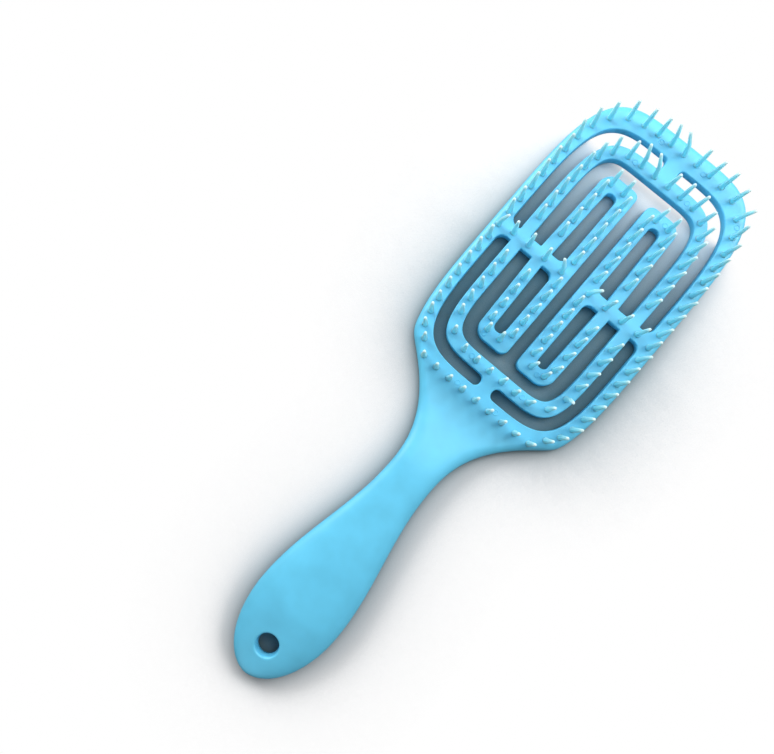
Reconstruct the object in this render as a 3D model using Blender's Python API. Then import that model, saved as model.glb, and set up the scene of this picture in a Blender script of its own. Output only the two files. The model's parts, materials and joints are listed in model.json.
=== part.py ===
"""Vented hair brush, modelled rib by rib.

A flat lattice of moulded ribs carries tapered pins: an outer rim, a hoop inside it, and two long loops
inside the hoop, each hung on one crossbar that twists as the loop gives. A paddle handle with a hanging
hole carries the lattice. The brush lies on its back with the pins up: X is across, Y runs towards the
head's tip, Z is up, and the origin is on the table under the middle of the brush.

Plan points are measured from the middle of the crossbars. Ribs are drawn on the +X side, and side -1
mirrors them.
"""

import math

import bmesh
import bpy
from mathutils import Vector

MM = 0.001

# Lattice
RIB_THICKNESS = 4.2 * MM
RIB_CHAMFER = 0.4 * MM
RIM_EDGE_CHAMFER = 1.1 * MM
CLEARANCE = 0.3 * MM

# Widths across the head, from the middle outwards
CENTRE_GAP = 4.6 * MM
INNER_ARM_WIDTH = 5.3 * MM
LOOP_SLOT_WIDTH = 5.3 * MM
OUTER_ARM_WIDTH = 4.75 * MM
LOOP_SIDE_GAP = 4.9 * MM
HOOP_SIDE_WIDTH = 4.75 * MM
SIDE_SLOT_WIDTH = 4.6 * MM
RIM_SIDE_WIDTH = 5.3 * MM

# Widths along the head, from the crossbars to the tip
LOOP_SLOT_UP = 33.1 * MM
LOOP_TOP_WIDTH = 6.0 * MM
LOOP_TOP_GAP = 5.7 * MM
HOOP_TOP_WIDTH = 5.8 * MM
TOP_SLOT_WIDTH = 5.15 * MM
RIM_TOP_WIDTH = 9.3 * MM

# Widths along the head, from the crossbars to the handle
LOOP_SLOT_DOWN = 31.0 * MM
LOOP_BOTTOM_WIDTH = 5.3 * MM
LOOP_BOTTOM_GAP = 4.6 * MM
HOOP_BOTTOM_WIDTH = 5.3 * MM
BOTTOM_SLOT_WIDTH = 4.6 * MM
RIM_BOTTOM_WIDTH = 5.8 * MM
RIM_BELOW_HANDLE_TOP = 5.75 * MM

# Crossbars and bridges, with the fillets at their roots
CROSSBAR_WIDTH = 5.2 * MM
CROSSBAR_FILLET = 3.0 * MM
TOP_BRIDGE_WIDTH = 6.0 * MM
TOP_BRIDGE_FILLET = 1.7 * MM
BOTTOM_BRIDGE_WIDTH = 5.5 * MM
BOTTOM_BRIDGE_FILLET = 2.1 * MM

# Loops, whose outer arms lean in towards both ends
OUTER_ARM_LEAN = 0.95 * MM
LOOP_OUTER_CORNER = 5.2 * MM
LOOP_INNER_CORNER = 2.8 * MM
SLOT_END_FILLET = 1.95 * MM
SLOT_WEB_FILLET = 2.7 * MM

# Exponents of the superellipses: how square each outline is, at the tip end and at the handle end
RIM_SQUARENESS = (4.6, 4.0)
SIDE_SLOT_SQUARENESS = (5.0, 5.0)
HOOP_SQUARENESS = (5.0, 6.0)
WINDOW_SQUARENESS = (7.0, 7.0)

# How far inside the edge of their opening the rim's and the hoop's bars turn into bends
RIM_BEND_SIDE = 11.6 * MM
RIM_BEND_TOP = 17.6 * MM
RIM_BEND_BOTTOM = 13.0 * MM
HOOP_BEND_SIDE = 5.0 * MM
HOOP_BEND_TOP = 7.3 * MM
HOOP_BEND_BOTTOM = 4.4 * MM
RIM_SIDE_SPLIT = 1.8 * MM
RIM_TOP_BEND_ANGLE = math.radians(52)
RIM_LOWER_BEND_SHARE = 0.87

# Pins
PIN_HEIGHT = 14.5 * MM
PIN_BASE_RADIUS = 1.0 * MM
PIN_NECK_RADIUS = 0.65 * MM
PIN_TIP_RADIUS = 0.35 * MM
PIN_TIP_LENGTH = 0.5 * MM
PIN_ROOT_DEPTH = 1.2 * MM
PIN_SIDES = 4
PIN_PITCH = 6.0 * MM
CROSSBAR_PIN_PITCH = 6.9 * MM
PINLESS_LENGTH = 4.5 * MM
RIB_PIN_SHARE = 0.5
RIM_SIDE_PIN_SHARE = 0.56
RIM_TOP_PIN_SHARE = 0.5
RIM_BOTTOM_PIN_SHARE = 0.34
END_BAR_PIN_SHARES = (0.35, 0.74)
TOP_END_BAR_PIN_SHARE = 0.42
BOTTOM_END_BAR_PIN_SHARE = 0.28

# Handle: lengths along it, half widths, and heights of its two faces
HANDLE_LENGTH = 120.8 * MM
NECK_BELOW_RIM = 32.7 * MM
BELLY_ABOVE_END = 29.0 * MM
NECK_HALF_WIDTH = 8.7 * MM
BELLY_HALF_WIDTH = 16.7 * MM
SHOULDER_OVERLAP = 6.4 * MM
SHOULDER_BLEND = 1.0 * MM
SHOULDER_POWER = 2.3
NECK_THICKNESS = 8.2 * MM
NECK_LIFT = 0.5 * MM
BELLY_THICKNESS = 10.4 * MM
END_THICKNESS = 5.8 * MM
END_LIFT = 1.6 * MM
END_TAPER_POWER = 0.3
END_TURN = math.radians(86)
HANDLE_SIDES = 24

# Exponents of the handle's sections: 0 is a rectangle and 1 an ellipse
SHOULDER_ROUNDNESS = 0.22
NECK_ROUNDNESS = 0.66
BELLY_ROUNDNESS = 0.8

# Hanging hole, narrowest halfway down, where the two halves of the mould meet
HOLE_ABOVE_END = 12.8 * MM
HOLE_WAIST_RADIUS = 3.75 * MM
HOLE_MOUTH_RADIUS = 4.2 * MM
HOLE_RIM_RADIUS = 4.9 * MM
HOLE_RIM_DEPTH = 0.7 * MM
HOLE_SIDES = 24
CUT_OVERRUN = 2.0 * MM

# Shares of a rib's or the handle's length at which it has a cross section
END_SHARES = (0.0, 1.0)
EVEN_SHARES = (0.0, 0.25, 0.5, 0.75, 1.0)
BAR_SHARES = (0.0, 0.1, 0.22, 0.5, 0.78, 0.9, 1.0)
SIDE_SHARES = (0.0, 0.45, 0.7, 0.87, 1.0)
ARM_SHARES = (0.0, 0.03, 0.09, 0.94, 0.98, 1.0)
FILLET_SHARES = (0.0, 0.15, 0.4, 0.6, 0.85, 1.0)
CORNER_TURN_SHARES = (0.0, 0.33, 0.67, 1.0)
SHOULDER_SHARES = (0.0, 0.1, 0.2, 0.33, 0.48, 0.64, 0.8)
GRIP_SHARES = (0.0, 0.17, 0.33, 0.5, 0.67, 0.83)
END_TURN_SHARES = (0.0, 0.2, 0.38, 0.54, 0.68, 0.8, 0.9, 0.96, 1.0)

# How often a ray is halved to find an outline's edge on it
EDGE_HALVINGS = 30

PLASTIC_COLOUR = (0.11, 0.53, 0.86, 1.0)
PLASTIC_ROUGHNESS = 0.42
SHARP_EDGE_ANGLE = math.radians(40)

# Outlines across the head, added up from the widths
LOOP_INNER_X = CENTRE_GAP / 2
SLOT_INNER_X = LOOP_INNER_X + INNER_ARM_WIDTH
SLOT_OUTER_X = SLOT_INNER_X + LOOP_SLOT_WIDTH
LOOP_OUTER_X = SLOT_OUTER_X + OUTER_ARM_WIDTH
WINDOW_X = LOOP_OUTER_X + LOOP_SIDE_GAP
HOOP_X = WINDOW_X + HOOP_SIDE_WIDTH
SIDE_SLOT_X = HOOP_X + SIDE_SLOT_WIDTH
RIM_X = SIDE_SLOT_X + RIM_SIDE_WIDTH

# Outlines towards the tip
LOOP_UP = LOOP_SLOT_UP + LOOP_TOP_WIDTH
WINDOW_UP = LOOP_UP + LOOP_TOP_GAP
HOOP_UP = WINDOW_UP + HOOP_TOP_WIDTH
SIDE_SLOT_UP = HOOP_UP + TOP_SLOT_WIDTH
RIM_UP = SIDE_SLOT_UP + RIM_TOP_WIDTH

# Outlines towards the handle
LOOP_DOWN = LOOP_SLOT_DOWN + LOOP_BOTTOM_WIDTH
WINDOW_DOWN = LOOP_DOWN + LOOP_BOTTOM_GAP
HOOP_DOWN = WINDOW_DOWN + HOOP_BOTTOM_WIDTH
SIDE_SLOT_DOWN = HOOP_DOWN + BOTTOM_SLOT_WIDTH
RIM_DOWN = SIDE_SLOT_DOWN + RIM_BOTTOM_WIDTH

# Places along the brush
HANDLE_TOP_Y = -(RIM_DOWN + CLEARANCE)
HANDLE_END_Y = HANDLE_TOP_Y - HANDLE_LENGTH
NECK_Y = HANDLE_TOP_Y - NECK_BELOW_RIM
BELLY_Y = HANDLE_END_Y + BELLY_ABOVE_END
SHOULDER_Y = HANDLE_TOP_Y + SHOULDER_OVERLAP
CROSSBAR_Y = -(HANDLE_END_Y + RIM_UP) / 2

HALF_CLEARANCE = CLEARANCE / 2
HALF_CROSSBAR = CROSSBAR_WIDTH / 2
CROSSBAR_EDGE = HALF_CROSSBAR + HALF_CLEARANCE
SLOT_END_RADIUS = min(SLOT_END_FILLET, (LOOP_SLOT_WIDTH - OUTER_ARM_LEAN) / 2 - HALF_CLEARANCE)
SIDES = ((1, "right"), (-1, "left"))


class Outline:
    """A superellipse with its own reach and squareness towards the tip and towards the handle."""

    def __init__(self, half_width, up, down, squareness):
        self.half_width = half_width
        self.ends = {True: (up, squareness[0]), False: (down, squareness[1])}

    def x_at(self, y):
        reach, power = self.ends[y > 0]
        share = min(1.0, abs(y) / reach)
        return self.half_width * (1 - share**power) ** (1 / power)

    def y_at(self, x, upwards):
        reach, power = self.ends[upwards]
        share = min(1.0, abs(x) / self.half_width)
        y = reach * (1 - share**power) ** (1 / power)
        return y if upwards else -y

    def holds(self, point):
        reach, power = self.ends[point.y > 0]
        return (abs(point.x) / self.half_width) ** power + (abs(point.y) / reach) ** power < 1


RIM = Outline(RIM_X, RIM_UP, RIM_DOWN + RIM_BELOW_HANDLE_TOP, RIM_SQUARENESS)
SIDE_SLOT = Outline(SIDE_SLOT_X, SIDE_SLOT_UP, SIDE_SLOT_DOWN, SIDE_SLOT_SQUARENESS)
HOOP = Outline(HOOP_X, HOOP_UP, HOOP_DOWN, HOOP_SQUARENESS)
WINDOW = Outline(WINDOW_X, WINDOW_UP, WINDOW_DOWN, WINDOW_SQUARENESS)

RIM_TOP_PIVOT = Vector((SIDE_SLOT_X - RIM_BEND_SIDE, SIDE_SLOT_UP - RIM_BEND_TOP))
RIM_BOTTOM_PIVOT = Vector((RIM_TOP_PIVOT.x, RIM_BEND_BOTTOM - SIDE_SLOT_DOWN))
HOOP_TOP_PIVOT = Vector((WINDOW_X - HOOP_BEND_SIDE, WINDOW_UP - HOOP_BEND_TOP))
HOOP_BOTTOM_PIVOT = Vector((HOOP_TOP_PIVOT.x, HOOP_BEND_BOTTOM - WINDOW_DOWN))


def mix(first, last, share):
    return first + (last - first) * share


def spread(first, last, shares):
    return [mix(first, last, share) for share in shares]


def ease(share):
    """Half a cosine wave from 0 to 1."""
    return (1 - math.cos(math.pi * share)) / 2


def fillet(distance, radius):
    """How far a round fillet stands out, at a distance from the wall that it runs into."""
    inside = radius - max(0.0, distance)
    if inside <= 0:
        return 0.0
    return radius - math.sqrt(radius**2 - inside**2)


def silhouette(y):
    """Half width of the brush: the rim, and the shoulder that cuts across its lower corners."""
    rim = RIM.x_at(y)
    if y > 0:
        return rim
    share = max(0.0, (y - NECK_Y) / (SHOULDER_Y - NECK_Y))
    shoulder = mix(NECK_HALF_WIDTH, RIM.x_at(SHOULDER_Y), share**SHOULDER_POWER)
    if y <= HANDLE_TOP_Y:
        return shoulder
    difference = abs(rim - shoulder) / SHOULDER_BLEND
    return min(rim, shoulder) - SHOULDER_BLEND * math.log1p(math.exp(-difference))


def inside_silhouette(point):
    return abs(point.x) < silhouette(point.y)


def edge_along(pivot, angle, holds):
    """The point where a ray from the pivot leaves the area that holds() describes, found by halving."""
    direction = Vector((math.cos(angle), math.sin(angle)))
    near, far = 0.0, RIM_X
    for _ in range(EDGE_HALVINGS):
        middle = (near + far) / 2
        if holds(pivot + direction * middle):
            near = middle
        else:
            far = middle
    return pivot + direction * near


def level_stations(outer_x, inner_x, levels):
    """Cross sections of a rib that runs along Y: a plan point on each of its sides, at each level."""
    return [(Vector((outer_x(y), y)), Vector((inner_x(y), y))) for y in levels]


def upright_stations(outer_y, inner_y, places):
    """Cross sections of a rib that runs along X."""
    return [(Vector((x, outer_y(x))), Vector((x, inner_y(x)))) for x in places]


def bend_stations(pivot, angles, outer_holds, inner_holds):
    """Cross sections of a rib round a bend, on rays from its pivot."""
    return [(edge_along(pivot, a, outer_holds), edge_along(pivot, a, inner_holds)) for a in angles]


def mirrored(stations, side):
    return [tuple(Vector((side * point.x, point.y)) for point in pair) for pair in stations]


def drawn_in(pair, neighbour):
    """An end section moved half a clearance towards the next one, square to itself."""
    outer, inner = pair
    across = inner - outer
    square = Vector((-across.y, across.x)).normalized()
    if square.dot(neighbour[0] + neighbour[1] - outer - inner) < 0:
        square = -square
    return outer + square * HALF_CLEARANCE, inner + square * HALF_CLEARANCE


def lifted(point, z):
    """A plan point in the part's own frame."""
    return Vector((point.x, point.y + CROSSBAR_Y, z))


def rib_section(outer, inner, outer_chamfer):
    """A rectangle across a rib with its four corners cut, the outer two by a size of their own."""
    inwards = (inner - outer).normalized()
    cut_outer = outer + inwards * outer_chamfer
    cut_inner = inner - inwards * RIB_CHAMFER
    corners = (
        (cut_outer, RIB_THICKNESS),
        (outer, RIB_THICKNESS - outer_chamfer),
        (outer, outer_chamfer),
        (cut_outer, 0.0),
        (cut_inner, 0.0),
        (inner, RIB_CHAMFER),
        (inner, RIB_THICKNESS - RIB_CHAMFER),
        (cut_inner, RIB_THICKNESS),
    )
    return [lifted(point, z) for point, z in corners]


def skin(shell, sections):
    """A closed surface over a row of sections with equal numbers of points, capped at both ends."""
    rings = [[shell.verts.new(point) for point in section] for section in sections]
    count = len(rings[0])
    for ring, following in zip(rings, rings[1:]):
        for i in range(count):
            j = (i + 1) % count
            shell.faces.new((ring[i], ring[j], following[j], following[i]))
    shell.faces.new(rings[0])
    shell.faces.new(rings[-1])


def blue_plastic(name):
    """Sky-blue moulded plastic with a satin skin."""
    material = bpy.data.materials.new(name)
    material.use_nodes = True
    shader = material.node_tree.nodes["Principled BSDF"]
    shader.inputs["Base Color"].default_value = PLASTIC_COLOUR
    shader.inputs["Roughness"].default_value = PLASTIC_ROUGHNESS
    shader.inputs["Metallic"].default_value = 0.0
    return material


def linked_object(name, parent, shell):
    """Makes an object from a bmesh drawn in the part's frame, carried by an empty."""
    bmesh.ops.recalc_face_normals(shell, faces=shell.faces)
    mesh = bpy.data.meshes.new(name)
    shell.to_mesh(mesh)
    shell.free()
    made = bpy.data.objects.new(name, mesh)
    bpy.context.scene.collection.objects.link(made)
    made.parent = parent
    made.location = -parent.location
    return made


def finished(made):
    made.data.shade_smooth()
    made.data.set_sharp_from_angle(angle=SHARP_EDGE_ANGLE)
    made.data.materials.append(blue_plastic(made.name + "_plastic"))
    return made


def combine(target, tool, operation):
    """A live Boolean with a helper that isn't part of the model itself."""
    tool.hide_render = True
    tool.display_type = "WIRE"
    change = target.modifiers.new(operation.lower(), "BOOLEAN")
    change.object = tool
    change.operation = operation
    change.solver = "EXACT"


def turned(shell, centre, levels, sides):
    """A body turned about an upright axis, from (height, radius) levels."""
    turns = [math.tau * (i + 0.5) / sides for i in range(sides)]
    rings = [
        [centre + Vector((radius * math.cos(turn), radius * math.sin(turn), z)) for turn in turns]
        for z, radius in levels
    ]
    skin(shell, rings)


def pin_bodies(name, parent, places):
    """Tapered pins with a short blunt tip, their roots sunk in the rib."""
    levels = (
        (-PIN_ROOT_DEPTH, PIN_BASE_RADIUS),
        (0.0, PIN_BASE_RADIUS),
        (PIN_HEIGHT - PIN_TIP_LENGTH, PIN_NECK_RADIUS),
        (PIN_HEIGHT, PIN_TIP_RADIUS),
    )
    shell = bmesh.new()
    for place in places:
        turned(shell, lifted(place, RIB_THICKNESS), levels, PIN_SIDES)
    return linked_object(name, parent, shell)


def pin_row(stations, across=RIB_PIN_SHARE, pitch=PIN_PITCH, bare=0.0):
    """Pins at even steps near the pitch, along the line at a share of the way across a rib."""
    line = [outer.lerp(inner, across) for outer, inner in stations]
    steps = [(end - start).length for start, end in zip(line, line[1:])]
    room = sum(steps) - bare
    count = max(1, round(room / pitch))
    places = []
    for i in range(count):
        left = bare + room * (i + 0.5) / count
        segment = 0
        while left > steps[segment]:
            left -= steps[segment]
            segment += 1
        places.append(line[segment].lerp(line[segment + 1], left / steps[segment]))
    return places


def rib(name, parent, stations, pins=(), outer_chamfer=RIB_CHAMFER, free_end=False):
    """One rib with its pins. A free end keeps its length; the others leave room for their neighbour."""
    first = drawn_in(stations[0], stations[1])
    last = stations[-1] if free_end else drawn_in(stations[-1], stations[-2])
    pairs = [first, *stations[1:-1], last]
    shell = bmesh.new()
    skin(shell, [rib_section(outer, inner, outer_chamfer) for outer, inner in pairs])
    made = finished(linked_object(name, parent, shell))
    if pins:
        combine(made, pin_bodies(name + "_pins", parent, pins), "UNION")
    return made


def build_rim_side(root, side, word):
    for level, pivot in (("upper", RIM_TOP_PIVOT), ("lower", RIM_BOTTOM_PIVOT)):
        levels = spread(RIM_SIDE_SPLIT, pivot.y, SIDE_SHARES)
        stations = mirrored(level_stations(RIM.x_at, SIDE_SLOT.x_at, levels), side)
        pins = pin_row(stations, RIM_SIDE_PIN_SHARE)
        rib(f"rim_{word}_{level}_side", root, stations, pins, RIM_EDGE_CHAMFER)


def lower_corner_angle():
    """Direction from the rim's lower pivot to the corner where the shoulder meets the handle's end."""
    corner = Vector((silhouette(-RIM_DOWN), -RIM_DOWN)) - RIM_BOTTOM_PIVOT
    return math.atan2(corner.y, corner.x)


def build_rim_bends(root, side, word):
    upright = math.radians(90)
    lower_end = lower_corner_angle() * RIM_LOWER_BEND_SHARE
    bends = (
        ("top_bend", RIM_TOP_PIVOT, upright, RIM_TOP_BEND_ANGLE, RIM.holds, RIM_TOP_PIN_SHARE),
        ("upper_bend", RIM_TOP_PIVOT, RIM_TOP_BEND_ANGLE, 0.0, RIM.holds, RIB_PIN_SHARE),
        ("lower_bend", RIM_BOTTOM_PIVOT, 0.0, lower_end, inside_silhouette, RIB_PIN_SHARE),
    )
    for bend, pivot, first, last, holds, across in bends:
        stations = bend_stations(pivot, spread(first, last, EVEN_SHARES), holds, SIDE_SLOT.holds)
        stations = mirrored(stations, side)
        rib(f"rim_{word}_{bend}", root, stations, pin_row(stations, across), RIM_EDGE_CHAMFER)


def build_rim_ends(root):
    half = RIM_TOP_PIVOT.x
    places = spread(-half, half, BAR_SHARES)
    top = upright_stations(lambda x: RIM.y_at(x, True), lambda x: SIDE_SLOT.y_at(x, True), places)
    rib("rim_top_bar", root, top, pin_row(top, RIM_TOP_PIN_SHARE), RIM_EDGE_CHAMFER)
    corner_angle = lower_corner_angle()
    bend_angle = corner_angle * RIM_LOWER_BEND_SHARE
    right = bend_stations(RIM_BOTTOM_PIVOT, (bend_angle,), inside_silhouette, SIDE_SLOT.holds)
    corner = Vector((silhouette(-RIM_DOWN), -RIM_DOWN))
    right.append((corner, edge_along(RIM_BOTTOM_PIVOT, corner_angle, SIDE_SLOT.holds)))
    places = spread(half, -half, BAR_SHARES)
    middle = upright_stations(lambda x: -RIM_DOWN, lambda x: SIDE_SLOT.y_at(x, False), places)
    bottom = right + middle + mirrored(reversed(right), -1)
    rib("rim_bottom_bar", root, bottom, pin_row(bottom, RIM_BOTTOM_PIN_SHARE), RIB_CHAMFER)


def build_hoop(root):
    places = spread(-HOOP_TOP_PIVOT.x, HOOP_TOP_PIVOT.x, BAR_SHARES)
    for upwards, name in ((True, "hoop_top_bar"), (False, "hoop_bottom_bar")):
        bar = upright_stations(lambda x: HOOP.y_at(x, upwards), lambda x: WINDOW.y_at(x, upwards), places)
        rib(name, root, bar, pin_row(bar))
    upright = math.radians(90)
    ends = ((1, "upper", HOOP_TOP_PIVOT), (-1, "lower", HOOP_BOTTOM_PIVOT))
    for side, word in SIDES:
        for direction, level, pivot in ends:
            levels = spread(direction * CROSSBAR_EDGE, pivot.y, SIDE_SHARES)
            bar = mirrored(level_stations(HOOP.x_at, WINDOW.x_at, levels), side)
            rib(f"hoop_{word}_{level}_side", root, bar, pin_row(bar, bare=PINLESS_LENGTH))
            angles = spread(0.0, direction * upright, EVEN_SHARES)
            bend = mirrored(bend_stations(pivot, angles, HOOP.holds, WINDOW.holds), side)
            rib(f"hoop_{word}_{level}_bend", root, bend, pin_row(bend))


def build_bridges(root):
    """Short ribs between the hoop's ends and the rim, filleted at both roots."""
    bridges = (
        ("top_bridge", TOP_BRIDGE_WIDTH, TOP_BRIDGE_FILLET, HOOP_UP, SIDE_SLOT_UP),
        ("bottom_bridge", BOTTOM_BRIDGE_WIDTH, BOTTOM_BRIDGE_FILLET, -HOOP_DOWN, -SIDE_SLOT_DOWN),
    )
    for name, width, radius, start, end in bridges:
        trim = math.copysign(HALF_CLEARANCE, end - start)
        levels = spread(start + trim, end - trim, FILLET_SHARES)
        halves = [width / 2 + fillet(abs(y - start), radius) + fillet(abs(end - y), radius) for y in levels]
        rib(name, root, [(Vector((half, y)), Vector((-half, y))) for half, y in zip(halves, levels)])


def build_crossbars(root):
    """From the rim through the hoop to the loop: wide at the rim, and the part that twists at the loop."""
    rim_wall = SIDE_SLOT_X
    fillet_places = spread(rim_wall - HALF_CLEARANCE, rim_wall - CROSSBAR_FILLET, EVEN_SHARES)
    places = [*fillet_places, LOOP_OUTER_X]
    halves = [HALF_CROSSBAR + fillet(rim_wall - x, CROSSBAR_FILLET) for x in places]
    stations = [(Vector((x, half)), Vector((x, -half))) for x, half in zip(places, halves)]
    for side, word in SIDES:
        bar = mirrored(stations, side)
        rib(f"{word}_crossbar", root, bar, pin_row(bar, pitch=CROSSBAR_PIN_PITCH))


def loop_edges(distance, slot_end, loop_end):
    """X of a loop's inner side, of both sides of its slot and of its outer side, off the crossbar."""
    lean = OUTER_ARM_LEAN * min(1.0, distance / slot_end)
    slot_corner = fillet(slot_end - distance, SLOT_END_RADIUS)
    inner = LOOP_INNER_X + fillet(loop_end - distance, LOOP_INNER_CORNER)
    slot_inner = SLOT_INNER_X + slot_corner + fillet(distance - HALF_CROSSBAR, SLOT_WEB_FILLET)
    slot_outer = SLOT_OUTER_X - lean - slot_corner
    outer = LOOP_OUTER_X - lean - fillet(loop_end - distance, LOOP_OUTER_CORNER)
    return inner, slot_inner, slot_outer, outer


def build_loop_half(hinge, side, word, direction, level, slot_end, loop_end, pin_share):
    """The half of a loop above or below its crossbar: two arms, and the bar that joins their ends."""
    distances = spread(CROSSBAR_EDGE, slot_end, ARM_SHARES)
    edges = [loop_edges(distance, slot_end, loop_end) for distance in distances]
    for arm, (near, far), bare in (("inner", (0, 1), 0.0), ("outer", (3, 2), PINLESS_LENGTH)):
        stations = [
            (Vector((edge[near], direction * distance)), Vector((edge[far], direction * distance)))
            for edge, distance in zip(edges, distances)
        ]
        stations = mirrored(stations, side)
        rib(f"{word}_loop_{arm}_arm_{level}", hinge, stations, pin_row(stations, bare=bare))
    turns = spread(0.0, math.radians(90), CORNER_TURN_SHARES)
    rounded = [loop_end - LOOP_OUTER_CORNER * (1 - math.sin(turn)) for turn in turns]
    distances = [slot_end, *(distance for distance in rounded if distance > slot_end + CLEARANCE)]
    stations = []
    for distance in distances:
        inner, _, _, outer = loop_edges(distance, slot_end, loop_end)
        stations.append((Vector((outer, direction * distance)), Vector((inner, direction * distance))))
    stations = mirrored(stations, side)
    outer, inner, y = stations[0][0].x, stations[0][1].x, direction * mix(slot_end, loop_end, pin_share)
    pins = [Vector((x, y)) for x in spread(inner, outer, END_BAR_PIN_SHARES)]
    rib(f"{word}_loop_{level}_end", hinge, stations, pins, free_end=True)


def build_loops():
    """Two loops, each turning about the middle of its crossbar, halfway up the rib."""
    ends = (
        (1, "upper", LOOP_SLOT_UP, LOOP_UP, TOP_END_BAR_PIN_SHARE),
        (-1, "lower", LOOP_SLOT_DOWN, LOOP_DOWN, BOTTOM_END_BAR_PIN_SHARE),
    )
    for side, word in SIDES:
        hinge = bpy.data.objects.new(f"{word}_loop_hinge", None)
        hinge.location = lifted(Vector((side * LOOP_OUTER_X, 0.0)), RIB_THICKNESS / 2)
        bpy.context.scene.collection.objects.link(hinge)
        places = spread(LOOP_OUTER_X, LOOP_INNER_X, END_SHARES)
        stations = [(Vector((x, HALF_CROSSBAR)), Vector((x, -HALF_CROSSBAR))) for x in places]
        web = mirrored(stations, side)
        rib(f"{word}_loop_web", hinge, web, pin_row(web, pitch=CROSSBAR_PIN_PITCH), free_end=True)
        for direction, level, slot_end, loop_end, pin_share in ends:
            build_loop_half(hinge, side, word, direction, level, slot_end, loop_end, pin_share)


def end_faces(share):
    """Heights of the handle's bottom and top, at a share of the way from its belly to its end."""
    thickness = mix(BELLY_THICKNESS, END_THICKNESS, share)
    middle = mix(0.0, END_LIFT, share) + thickness / 2
    half = thickness / 2 * (1 - share**2) ** (END_TAPER_POWER / 2)
    return middle - half, middle + half


def handle_section(y, half_width, bottom, top, roundness):
    """A superellipse across the handle, between a bottom and a top height."""
    points = []
    for i in range(HANDLE_SIDES):
        turn = math.tau * i / HANDLE_SIDES
        cosine, sine = math.cos(turn), math.sin(turn)
        x = half_width * math.copysign(abs(cosine) ** roundness, cosine)
        z = mix(bottom, top, (1 + math.copysign(abs(sine) ** roundness, sine)) / 2)
        points.append(lifted(Vector((x, y)), z))
    return points


def handle_sections():
    """From the rim's flat plate down the shoulder to the round neck, over the belly and round the end."""
    sections = []
    neck_top = NECK_LIFT + NECK_THICKNESS
    for share in SHOULDER_SHARES:
        turn = ease(share)
        y = mix(HANDLE_TOP_Y, NECK_Y, share)
        faces = mix(0.0, NECK_LIFT, turn), mix(RIB_THICKNESS, neck_top, turn)
        roundness = mix(SHOULDER_ROUNDNESS, NECK_ROUNDNESS, turn)
        sections.append(handle_section(y, silhouette(y), *faces, roundness))
    for share in GRIP_SHARES:
        turn = ease(share)
        y = mix(NECK_Y, BELLY_Y, share)
        faces = mix(NECK_LIFT, 0.0, turn), mix(neck_top, BELLY_THICKNESS, turn)
        half_width = mix(NECK_HALF_WIDTH, BELLY_HALF_WIDTH, turn)
        roundness = mix(NECK_ROUNDNESS, BELLY_ROUNDNESS, turn)
        sections.append(handle_section(y, half_width, *faces, roundness))
    for share in END_TURN_SHARES:
        turn = END_TURN * share
        along = math.sin(turn) / math.sin(END_TURN)
        y = mix(BELLY_Y, HANDLE_END_Y, along)
        half_width = BELLY_HALF_WIDTH * math.cos(turn)
        sections.append(handle_section(y, half_width, *end_faces(math.sin(turn)), BELLY_ROUNDNESS))
    return sections


def build_handle(root):
    shell = bmesh.new()
    skin(shell, handle_sections())
    handle = finished(linked_object("handle", root, shell))
    bottom, top = end_faces(1 - HOLE_ABOVE_END / BELLY_ABOVE_END)
    levels = (
        (bottom - CUT_OVERRUN, HOLE_RIM_RADIUS + CUT_OVERRUN),
        (bottom + HOLE_RIM_DEPTH, HOLE_MOUTH_RADIUS),
        ((bottom + top) / 2, HOLE_WAIST_RADIUS),
        (top - HOLE_RIM_DEPTH, HOLE_MOUTH_RADIUS),
        (top + CUT_OVERRUN, HOLE_RIM_RADIUS + CUT_OVERRUN),
    )
    shell = bmesh.new()
    turned(shell, lifted(Vector((0.0, HANDLE_END_Y + HOLE_ABOVE_END)), 0.0), levels, HOLE_SIDES)
    combine(handle, linked_object("hanging_hole", root, shell), "DIFFERENCE")


def clear_scene():
    for existing in list(bpy.data.objects):
        bpy.data.objects.remove(existing)


def main():
    clear_scene()
    root = bpy.data.objects.new("brush", None)
    bpy.context.scene.collection.objects.link(root)
    build_rim_ends(root)
    for side, word in SIDES:
        build_rim_side(root, side, word)
        build_rim_bends(root, side, word)
    build_hoop(root)
    build_bridges(root)
    build_crossbars(root)
    build_loops()
    build_handle(root)


main()
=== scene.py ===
"""Looks of a vented hair brush that lies on its back with the pins up, laid out as a Blender add-on.

One satin plastic moulding: a head of flat ribs with soft edges, a paddle handle with a hanging hole, two
loops on twisting crossbar necks, and 146 tapered pins. Plan lengths are in millimetres from the middle of
the crossbars, x across and y towards the tip. They turn into metres in the row frame as a mesh is made.
A run is a line of plan points along an edge with the plate on its left.
"""

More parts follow.
